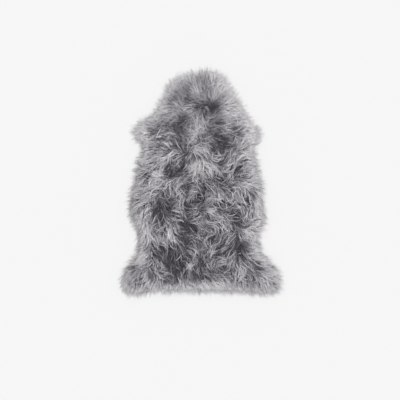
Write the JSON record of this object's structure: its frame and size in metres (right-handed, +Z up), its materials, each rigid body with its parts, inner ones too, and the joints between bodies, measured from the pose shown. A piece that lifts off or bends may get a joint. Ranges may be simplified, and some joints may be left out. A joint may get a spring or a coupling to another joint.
{
  "type": "sheepskin rug",
  "caption": "Flat single-pelt rug: a thin tanned hide under a deep, lumpy long-wool fleece with loose locks all round its rim, lying on a floor.",
  "frame": {"origin": "on the floor under the rug, at the middle of its box seen from above", "axes": "+Y towards the neck end, +X to the right seen from above, +Z up out of the wool"},
  "size_m": [0.6716, 0.9278, 0.0749],
  "materials": {
    "hide_leather": "suede",
    "wool": "long wool pile"
  },
  "bodies": {
    "root": {"hide": "hide_leather", "fleece": "wool"}
  },
  "joints": []
}
